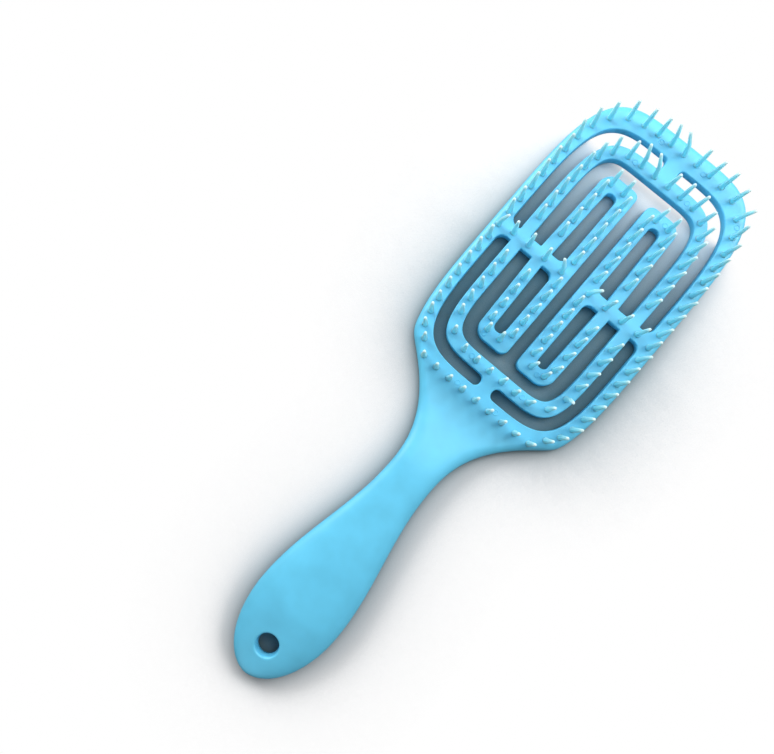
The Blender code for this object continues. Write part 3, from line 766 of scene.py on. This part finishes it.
def add_handle(surface, rim_top, rim_bottom):
    """Rows of points across the handle for its top and underside, the parting wall and the hole."""
    y = handle_rows()
    faces = []
    for upper, margin in ((True, rim_top[0]), (False, rim_bottom[0])):
        right = handle_columns(y, margin)
        x = np.concatenate([right, -right[:, -2::-1]], axis=1)
        rows = np.broadcast_to(y[:, None], x.shape)
        z = handle_height(x, rows, rim_top, rim_bottom, upper)
        faces.append(np.stack([x, rows, z], axis=-1))
    top, bottom = faces
    middle_row = np.argmin(np.abs(y - HOLE_Y))
    first_row, *_, last_row = np.flatnonzero(np.abs(y - HOLE_Y) < HOLE_PATCH)
    first_column, *_, last_column = np.flatnonzero(np.abs(top[middle_row, :, 0]) < HOLE_PATCH)
    kept = np.ones((len(y) - 1, top.shape[1] - 1), bool)
    kept[first_row:last_row, first_column:last_column] = False
    for sheet in faces:
        surface.grid(sheet, kept=kept)
    for column in (0, -1):
        surface.grid(np.stack([top[:, column], bottom[:, column]], axis=1))
    loop = np.concatenate(
        [
            top[first_row, first_column:last_column],
            top[first_row:last_row, last_column],
            top[last_row, last_column:first_column:-1],
            top[last_row:first_row:-1, first_column],
        ]
    )
    surface.grid(hole_surface(loop[:, 0], loop[:, 1], rim_top, rim_bottom))


def head_and_handle(rim_top, rim_bottom, rib_top, rib_bottom):
    """The frame's surface: bands along every edge, caps at both necks, and the handle."""
    surface = Surface()
    rim_profile = edge_profile(rim_top, rim_bottom, RIM_EDGE_STEPS)
    rib_profile = edge_profile(rib_top, rib_bottom, RIB_EDGE_STEPS)
    run, steps_in = outer_run()
    surface.band(run, rim_profile, steps_in=steps_in)
    for run in side_slot_runs():
        surface.band(run, rib_profile, closed=True)
    upper, lower = (surface.band(run, rib_profile) for run in window_runs())
    surface.cap([*upper[-1], *lower[0][::-1]])
    surface.cap([*lower[-1], *upper[0][::-1]])
    add_handle(surface, rim_top, rim_bottom)
    return surface


def loop_surface(side, rib_top, rib_bottom):
    """A loop's surface: bands round its outline and its two slots, and a cap at its neck."""
    surface = Surface()
    profile = edge_profile(rib_top, rib_bottom, RIB_EDGE_STEPS)
    outline, *slots = loop_runs()
    if side < 0:
        outline, slots = mirrored_run(outline), [mirrored_run(slot) for slot in slots]
    index = surface.band(outline, profile)
    surface.cap([*index[0], *index[-1][::-1]])
    for slot in slots:
        surface.band(slot, profile, closed=True)
    return surface


def neck_surface(side, rib_top, rib_bottom):
    """A stretch of crossbar between hoop and loop: its section carried along x in 12 steps, capped at both
    ends.
    """
    insets, heights = edge_profile(rib_top, rib_bottom, RIB_EDGE_STEPS)
    across = np.concatenate([HALF_CROSSBAR - insets, (insets - HALF_CROSSBAR)[::-1]])
    tall = np.concatenate([heights, heights[::-1]])
    across, tall = np.append(across, across[0]), np.append(tall, tall[0])
    x = side * np.linspace(NECK_END_X, NECK_START_X, NECK_SECTIONS)
    points = np.stack(np.broadcast_arrays(x[:, None], across, tall), axis=-1)
    surface = Surface()
    index = surface.grid(points)
    surface.cap(index[0][:-1])
    surface.cap(index[-1][:-1])
    return surface


def turned_pieces(places, leans, rows, sides):
    """One surface of revolution at each place, from rows of height and radius.

    At height h the point is place + lean (h/H)^1.8 + radius (cos t, sin t).
    """
    heights, radii = np.array(rows, float).T
    share = np.clip(heights / heights.max(), 0, 1) ** LEAN_POWER
    turns = np.arange(sides) * math.tau / sides
    circle = np.column_stack([np.cos(turns), np.sin(turns)])
    centres = places[:, None, :] + leans[:, None, :] * share[None, :, None]
    plan = centres[:, :, None, :] + radii[None, :, None, None] * circle[None, None, :, :]
    tall = np.broadcast_to((PLATE_TOP + heights)[None, :, None, None], (*plan.shape[:3], 1))
    points = np.concatenate([plan, tall], axis=3)
    index = np.arange(points[..., 0].size).reshape(points.shape[:3])
    beside = np.roll(index, -1, axis=2)
    quads = np.stack([index[:, :-1], beside[:, :-1], beside[:, 1:], index[:, 1:]], axis=-1)
    surface = Surface()
    surface.points.append(points.reshape(-1, 3))
    surface.quads.append(quads.reshape(-1, 4))
    return surface


def nodes_of(body):
    """Names of a body's CAD nodes, in order."""
    return sorted(name for name, node in frame["nodes"].items() if node["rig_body"] == body)


def pin_places(body):
    """Plan places of a body's pins, the middle of each group of tip corners in its CAD nodes."""
    found = []
    for name in nodes_of(body):
        corners = frame["nodes"][name].data.vertices
        points = np.empty(len(corners) * 3, np.float32)
        corners.foreach_get("co", points)
        points = points.reshape(-1, 3).astype(float) / MM
        tips = np.unique(np.round(points[points[:, 2] > PIN_TOP - TIP_TOLERANCE, :2], 3), axis=0)
        if len(tips) == 0:
            continue
        near = np.linalg.norm(tips[:, None] - tips[None], axis=2) < TIP_REACH
        groups = near[np.unique(near.argmax(axis=1))].astype(float)
        found.append(groups @ tips / groups.sum(axis=1, keepdims=True))
    return np.vstack(found) - (0.0, CENTRE_Y)


def pin_leans(places, spread, seed):
    """How far each pin's tip leans: a little at random, and more for the pins that are bent."""
    leans = np.random.default_rng(seed).normal(0, spread, places.shape)
    for root, lean in BENT_PINS:
        away = np.linalg.norm(places - root, axis=1)
        if away.min() < BENT_PIN_REACH:
            leans[away.argmin()] = lean
    return leans


def colour(code):
    """Linear red, green and blue of a colour written as #RRGGBB, by sRGB's own curve."""
    shares = np.array([int(code[i : i + 2], 16) for i in (1, 3, 5)]) / 255
    linear = np.where(shares <= 0.04045, shares / 12.92, ((shares + 0.055) / 1.055) ** 2.4)
    return tuple(float(share) for share in linear)


def new_material(name):
    """A new material and its main shader."""
    material = bpy.data.materials.new(name)
    material.use_nodes = True
    return material, material.node_tree.nodes["Principled BSDF"]


def add_node(shader, kind, inputs=None, **attributes):
    """Adds a node beside the shader, and sets or links its inputs, by name or number."""
    tree = shader.id_data
    made = tree.nodes.new(kind)
    for name, value in attributes.items():
        setattr(made, name, value)
    for name, value in (inputs or {}).items():
        if isinstance(value, bpy.types.NodeSocket):
            tree.links.new(value, made.inputs[name])
        else:
            made.inputs[name].default_value = value
    return made


def add_moulded_skin(shader, settings, tint):
    """The skin that a polished steel mould leaves on polypropylene.

    Slow mottling, 9 mm across, makes its sheen and depth of colour uneven, and a fine grain of 0.3 mm
    breaks up its highlights. tint is the colour's socket, or None for the plain plastic colour.
    """
    links = shader.id_data.links
    place = add_node(shader, "ShaderNodeTexCoord").outputs["Object"]
    slow, grain = (
        add_node(
            shader, "ShaderNodeTexNoise", {"Vector": place, "Scale": 1 / (size * MM), "Detail": detail}
        ).outputs["Fac"]
        for size, detail in (MOTTLING, GRAIN)
    )
    sheen_range = (settings.roughness - SHEEN_SPREAD, settings.roughness + SHEEN_SPREAD)
    sheen, depth = (
        add_node(
            shader,
            "ShaderNodeMapRange",
            {"Value": slow, "From Min": MOTTLE_LOW, "From Max": MOTTLE_HIGH, "To Min": low, "To Max": high},
        ).outputs["Result"]
        for low, high in (sheen_range, COLOUR_DEPTH)
    )
    relief = add_node(
        shader, "ShaderNodeBump", {"Height": grain, "Strength": GRAIN_STRENGTH, "Distance": GRAIN_DEPTH * MM}
    )
    plain = (*settings.plastic_colour, 1.0)
    mottled = add_node(
        shader, "ShaderNodeHueSaturation", {"Color": plain if tint is None else tint, "Value": depth}
    )
    shader.inputs["Base Color"].default_value = plain
    shader.inputs["IOR"].default_value = PLASTIC_IOR
    links.new(mottled.outputs["Color"], shader.inputs["Base Color"])
    links.new(sheen, shader.inputs["Roughness"])
    links.new(relief.outputs["Normal"], shader.inputs["Normal"])


def satin_polypropylene(settings):
    """Satin sky-blue polypropylene: soft broad highlights, no shine."""
    name = "satin_moulded_polypropylene"
    if name in bpy.data.materials:
        return bpy.data.materials[name]
    material, shader = new_material(name)
    add_moulded_skin(shader, settings, None)
    return material


def pin_polypropylene(settings):
    """The same polypropylene where it is thin: light seeps through it, and a painted glow pales it towards a
    painted highlight at the tips.
    """
    material, shader = new_material("thin_moulded_polypropylene")
    place = add_node(shader, "ShaderNodeTexCoord").outputs["Object"]
    parts = add_node(shader, "ShaderNodeSeparateXYZ", {"Vector": place})
    height = add_node(
        shader,
        "ShaderNodeMapRange",
        {"Value": parts.outputs["Z"], "From Min": PLATE_TOP * MM, "From Max": PIN_TOP * MM},
    )
    # Painted light: the pins grow paler with height to a near-white tip, a painted glow for light through
    # thin plastic and a painted highlight at the tips.
    tint = add_node(shader, "ShaderNodeValToRGB", {"Fac": height.outputs["Result"]})
    ramp = tint.color_ramp
    ramp.elements[0].color = (*settings.pin_painted_glow_colour, 1.0)
    ramp.elements[1].color = (*settings.pin_tip_painted_highlight_colour, 1.0)
    for share, painted_paling in PIN_PAINTED_PALING:
        between = ramp.elements.new(share)
        shade = mix(Vector(settings.pin_painted_glow_colour), Vector(settings.pin_tip_painted_highlight_colour), painted_paling)
        between.color = (*shade, 1.0)
    add_moulded_skin(shader, settings, tint.outputs["Color"])
    shader.inputs["Subsurface Weight"].default_value = 1.0
    shader.inputs["Subsurface Radius"].default_value = (1.0, 1.0, 1.0)
    shader.inputs["Subsurface Scale"].default_value = PIN_SCATTER * MM
    return material


def matt_paper(settings):
    """Matt white paper: soft shadows and no reflection.

    It has painted shade: it is greyer where the brush shuts it in, by its openness to a power, which fades
    to 0 at the tip. Where it lies open the camera sees plain white. Other rays see it darker, a painted
    dimming of its bounce light, so that the slots' walls stay dark.
    """
    material, shader = new_material("matt_white_paper")
    tree = shader.id_data
    place = add_node(shader, "ShaderNodeTexCoord").outputs["Object"]
    parts = add_node(shader, "ShaderNodeSeparateXYZ", {"Vector": place})
    tip, handle = (
        add_node(
            shader,
            "ShaderNodeMapRange",
            {"Value": parts.outputs["Y"], "From Min": start, "From Max": end, "To Min": low, "To Max": high},
        ).outputs["Result"]
        for (start, end), low, high in (
            (OPEN_TIP, 1.0, 0.0),
            (OPEN_HANDLE, settings.shade_power * HANDLE_SHADE, settings.shade_power),
        )
    )
    power = add_node(shader, "ShaderNodeMath", {0: tip, 1: handle}, operation="MULTIPLY").outputs["Value"]
    # Painted shade: the paper's colour turns towards the shade colour where ambient occlusion finds it shut
    # in, in the slots and in a halo round the brush.
    openness = add_node(
        shader, "ShaderNodeAmbientOcclusion", {"Distance": settings.shade_reach}, samples=SHADE_SAMPLES
    ).outputs["AO"]
    share = add_node(shader, "ShaderNodeMath", {0: openness, 1: power}, operation="POWER").outputs["Value"]
    tint = add_node(
        shader,
        "ShaderNodeMixRGB",
        {"Fac": share, "Color1": (*settings.shade_colour, 1.0), "Color2": (*settings.floor_colour, 1.0)},
    )
    seen = add_node(shader, "ShaderNodeLightPath").outputs["Is Camera Ray"]
    # Painted shade for other rays: the paper is dimmed for them, which cuts its bounce light onto the ribs'
    # walls.
    shown = add_node(shader, "ShaderNodeMapRange", {"Value": seen, "To Min": BOUNCE_SHARE, "To Max": 1.0})
    dimmed = add_node(
        shader, "ShaderNodeHueSaturation", {"Color": tint.outputs["Color"], "Value": shown.outputs["Result"]}
    )
    tree.links.new(dimmed.outputs["Color"], shader.inputs["Base Color"])
    open_share = add_node(
        shader,
        "ShaderNodeMapRange",
        {"Value": share, "From Min": WHITE_RANGE[0], "From Max": WHITE_RANGE[1]},
        interpolation_type="SMOOTHSTEP",
    ).outputs["Result"]
    white = add_node(shader, "ShaderNodeMath", {0: open_share, 1: seen}, operation="MULTIPLY")
    backdrop = add_node(shader, "ShaderNodeEmission", {"Color": WHITE, "Strength": 1.0})
    mixed = add_node(
        shader,
        "ShaderNodeMixShader",
        {"Fac": white.outputs["Value"], 1: shader.outputs["BSDF"], 2: backdrop.outputs["Emission"]},
    )
    tree.links.new(mixed.outputs["Shader"], tree.nodes["Material Output"].inputs["Surface"])
    shader.inputs["Roughness"].default_value = PAPER_ROUGHNESS
    shader.inputs["Specular IOR Level"].default_value = PAPER_SPECULAR
    return material


def size_setting(name, description, size):
    """A length that a user can change, with its default in millimetres."""
    return FloatProperty(name=name, description=description, default=size * MM, unit="LENGTH")


def colour_setting(name, description, code):
    """A colour that a user can change, with its default as #RRGGBB."""
    return FloatVectorProperty(name=name, description=description, default=colour(code), subtype="COLOR")


def light_setting(name, description, watts):
    """A light's power that a user can change."""
    return FloatProperty(name=name, description=description, default=watts, unit="POWER")


class BrushSettings(bpy.types.PropertyGroup):
    """Sizes and colours of the brush that a user would change."""

    rim_edge_inset: size_setting("Rim edge inset", "How far the rim's upper edge rounds in", 2.3)
    rim_edge_drop: size_setting("Rim edge drop", "How far the rim's upper edge rounds down", 1.9)
    rim_back_inset: size_setting("Rim back inset", "How far the rim's lower edge rounds in", 1.2)
    rim_back_rise: size_setting("Rim back rise", "How far the rim's lower edge rounds up", 1.1)
    rib_edge: size_setting("Rib edge", "Radius of the ribs' upper edges", 0.45)
    rib_back_edge: size_setting("Rib back edge", "Radius of the ribs' lower edges", 0.3)
    pin_radius: size_setting("Pin radius", "Radius of a pin above its flared root", 1.0)
    pin_tip_radius: size_setting("Pin tip radius", "Radius of a pin below its rounded tip", 0.56)
    pin_sides: IntProperty(name="Pin sides", description="Faces round a pin", default=8, min=6, max=16)
    pin_lean: size_setting("Pin lean", "How far the pins lean at random", 0.22)
    mark_radius: size_setting("Mark radius", "Radius of an ejector pin mark", 1.1)
    mark_height: size_setting("Mark height", "How far an ejector pin mark stands up", 0.15)
    roughness: FloatProperty(
        name="Roughness", description="Roughness of the plastic", default=0.40, min=0.1, max=0.9
    )
    plastic_colour: colour_setting("Plastic colour", "Colour of the brush", "#68CFF4")
    # Painted light: the pins' colours are paler than the plastic's and palest at the tips, a painted glow
    # and tip highlight.
    pin_painted_glow_colour: colour_setting("Pin colour", "Colour of the lower half of the pins", "#96E4FF")
    pin_tip_painted_highlight_colour: colour_setting("Pin tip colour", "Colour of the pins' thin tips", "#CCF7FF")
    floor_colour: colour_setting("Floor colour", "Colour of the paper below", "#F4F5F7")
    # Painted shade: the paper turns to this colour where the brush shuts it in, over this reach and at this
    # power.
    shade_colour: colour_setting("Shade colour", "Colour of the paper where it is shut in", "#4E737C")
    shade_reach: size_setting("Shade reach", "How far from the brush the paper turns greyer", 42.0)
    shade_power: FloatProperty(
        name="Shade power", description="How fast the paper turns greyer", default=2.6, min=0.2
    )
    left_power: light_setting("Left light", "Power of the low soft light on the left", 3.6)
    right_power: light_setting("Right light", "Power of the low soft light on the right", 2.4)
    back_power: light_setting("Back light", "Power of the low soft light behind the handle", 0.5)
    overhead_power: light_setting("Overhead light", "Power of the weaker light overhead", 1.35)
    ambient: FloatProperty(
        name="Ambient light", description="Strength of the even light all round", default=0.13
    )


def edges_in_mm(settings):
    """The four edge sizes, (inset, height) each: the rim's top and back, and the ribs' top and back."""
    edges = (
        (settings.rim_edge_inset, settings.rim_edge_drop),
        (settings.rim_back_inset, settings.rim_back_rise),
        (settings.rib_edge, settings.rib_edge),
        (settings.rib_back_edge, settings.rib_back_edge),
    )
    return [(inset / MM, height / MM) for inset, height in edges]


class BRUSH_OT_add_head(bpy.types.Operator):
    """Adds the rim, hoop, bridges, crossbars and handle as one moulding."""

    bl_idname = "brush.add_head"
    bl_label = "Add head and handle"

    def execute(self, context):
        settings = context.scene.brush_settings
        surface = head_and_handle(*edges_in_mm(settings))
        piece = finished("head_and_handle", surface, satin_polypropylene(settings), (PLATE_TOP, 0.0))
        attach(piece, "frame")
        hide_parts(*nodes_of("frame"))
        return {"FINISHED"}


class BRUSH_OT_add_loops(bpy.types.Operator):
    """Adds the two slotted loops inside the hoop."""

    bl_idname = "brush.add_loops"
    bl_label = "Add loops"

    def execute(self, context):
        settings = context.scene.brush_settings
        _, _, rib_top, rib_bottom = edges_in_mm(settings)
        for side, body in ((1, "right_loop"), (-1, "left_loop")):
            surface = loop_surface(side, rib_top, rib_bottom)
            piece = finished(f"{body}_ribs", surface, satin_polypropylene(settings), (PLATE_TOP, 0.0))
            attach(piece, body)
            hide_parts(*nodes_of(body))
        return {"FINISHED"}


class BRUSH_OT_add_necks(bpy.types.Operator):
    """Adds the stretches of crossbar between hoop and loop."""

    bl_idname = "brush.add_necks"
    bl_label = "Add crossbar necks"

    def execute(self, context):
        settings = context.scene.brush_settings
        _, _, rib_top, rib_bottom = edges_in_mm(settings)
        for side, word in ((1, "right"), (-1, "left")):
            surface = neck_surface(side, rib_top, rib_bottom)
            piece = finished(f"{word}_crossbar_neck", surface, satin_polypropylene(settings))
            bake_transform(piece)
        return {"FINISHED"}


class BRUSH_OT_add_pins(bpy.types.Operator):
    """Adds the tapered pins where the frame has them, a few of them bent."""

    bl_idname = "brush.add_pins"
    bl_label = "Add pins"

    def execute(self, context):
        settings = context.scene.brush_settings
        height = PIN_TOP - PLATE_TOP
        root, tip = settings.pin_radius / MM, settings.pin_tip_radius / MM
        rows = (
            (-PIN_SUNK, 0.0),
            (-PIN_SUNK, root + FLARE),
            (FLARE_FOOT, root + FLARE),
            (FLARE_WAIST[0], root + FLARE_WAIST[1]),
            (FLARE_TOP, root),
            (height * TAPER_MIDDLE[0], mix(root, tip, TAPER_MIDDLE[1])),
            (height - TIP_SHOULDER, tip),
            (height - TIP_ROUND[0], tip * TIP_ROUND[1]),
            (height, 0.0),
        )
        material = pin_polypropylene(settings)
        for number, body in enumerate(("frame", "right_loop", "left_loop")):
            places = pin_places(body)
            leans = pin_leans(places, settings.pin_lean / MM, LEAN_SEED + number)
            surface = turned_pieces(places, leans, rows, settings.pin_sides)
            piece = finished(f"{body}_pins", surface, material)
            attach(piece, body)
        return {"FINISHED"}


class BRUSH_OT_add_marks(bpy.types.Operator):
    """Adds the small round marks that the mould's ejector pins leave."""

    bl_idname = "brush.add_marks"
    bl_label = "Add ejector marks"

    def execute(self, context):
        settings = context.scene.brush_settings
        radius, height = settings.mark_radius / MM, settings.mark_height / MM
        outer, inner, foot = (radius - step for step in MARK_STEPS)
        rows = (
            (-MARK_SUNK, 0.0),
            (-MARK_SUNK, radius),
            (0.0, radius),
            (height, outer),
            (height, inner),
            (MARK_FLOOR, foot),
            (MARK_FLOOR, 0.0),
        )
        for body, marks in EJECTOR_MARKS.items():
            places = np.array(marks, float)
            surface = turned_pieces(places, np.zeros_like(places), rows, MARK_SIDES)
            piece = finished(f"{body}_ejector_marks", surface, satin_polypropylene(settings))
            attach(piece, body)
        return {"FINISHED"}


def add_area_light(name, place, power):
    """A square soft light at a place in metres, turned towards the middle of the brush."""
    lamp = bpy.data.lights.new(name, "AREA")
    lamp.size = LIGHT_SIZE
    lamp.energy = power
    made = placed(name, lamp)
    made.location = place
    made.rotation_euler = (-Vector(place)).to_track_quat("-Z", "Y").to_euler()


def white_surroundings(strength):
    """Even white light all round, which the camera itself sees as plain white."""
    world = bpy.data.worlds.new("white_surroundings")
    world.use_nodes = True
    nodes = world.node_tree.nodes
    light = nodes["Background"]
    light.inputs["Color"].default_value = WHITE
    light.inputs["Strength"].default_value = strength
    backdrop = add_node(light, "ShaderNodeBackground", {"Color": WHITE, "Strength": 1.0})
    seen = add_node(light, "ShaderNodeLightPath").outputs["Is Camera Ray"]
    mixed = add_node(
        light,
        "ShaderNodeMixShader",
        {"Fac": seen, 1: light.outputs["Background"], 2: backdrop.outputs["Background"]},
    )
    world.node_tree.links.new(mixed.outputs["Shader"], nodes["World Output"].inputs["Surface"])
    return world


class BRUSH_OT_set_stage(bpy.types.Operator):
    """Sets the paper, the soft lights, the even surroundings and the camera above the brush."""

    bl_idname = "brush.set_stage"
    bl_label = "Set stage"

    def execute(self, context):
        scene = context.scene
        settings = scene.brush_settings
        scene.view_settings.view_transform = "Standard"
        half = FLOOR_SIZE / 2
        corners = [(x * half, y * half, FLOOR_Z) for x, y in ((-1, -1), (1, -1), (1, 1), (-1, 1))]
        paper = bpy.data.meshes.new("paper")
        paper.from_pydata(corners, [], [(0, 1, 2, 3)])
        paper.materials.append(matt_paper(settings))
        floor = placed("paper", paper)
        for name, place in LIGHT_PLACES.items():
            add_area_light(f"{name}_light", place, getattr(settings, f"{name}_power"))
        scene.world = white_surroundings(settings.ambient)
        lens = bpy.data.cameras.new("camera")
        lens.sensor_width = SENSOR_WIDTH
        lens.lens = CAMERA_LENS
        camera = placed("camera", lens)
        camera.location = CAMERA_PLACE
        camera.rotation_euler = Euler([math.radians(turn) for turn in CAMERA_TURN])
        bpy.context.scene.camera = camera
        return {"FINISHED"}


OPERATORS = (
    BRUSH_OT_add_head,
    BRUSH_OT_add_loops,
    BRUSH_OT_add_necks,
    BRUSH_OT_add_pins,
    BRUSH_OT_add_marks,
    BRUSH_OT_set_stage,
)


class BRUSH_PT_panel(bpy.types.Panel):
    """Sizes, colours and steps of the brush in the sidebar."""

    bl_label = "Vented hair brush"
    bl_idname = "BRUSH_PT_panel"
    bl_space_type = "VIEW_3D"
    bl_region_type = "UI"
    bl_category = "Brush"

    def draw(self, context):
        for name in BrushSettings.__annotations__:
            self.layout.prop(context.scene.brush_settings, name)
        for operator in OPERATORS:
            self.layout.operator(operator.bl_idname)


CLASSES = (BrushSettings, *OPERATORS, BRUSH_PT_panel)


def register():
    for made in CLASSES:
        bpy.utils.register_class(made)
    bpy.types.Scene.brush_settings = PointerProperty(type=BrushSettings)


def unregister():
    del bpy.types.Scene.brush_settings
    for made in reversed(CLASSES):
        bpy.utils.unregister_class(made)


def main():
    """Builds the brush and its stage."""
    register()
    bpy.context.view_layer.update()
    bpy.ops.brush.add_head()
    bpy.ops.brush.add_loops()
    bpy.ops.brush.add_necks()
    bpy.ops.brush.add_pins()
    bpy.ops.brush.add_marks()
    bpy.ops.brush.set_stage()


if __name__ == "__main__":
    main()
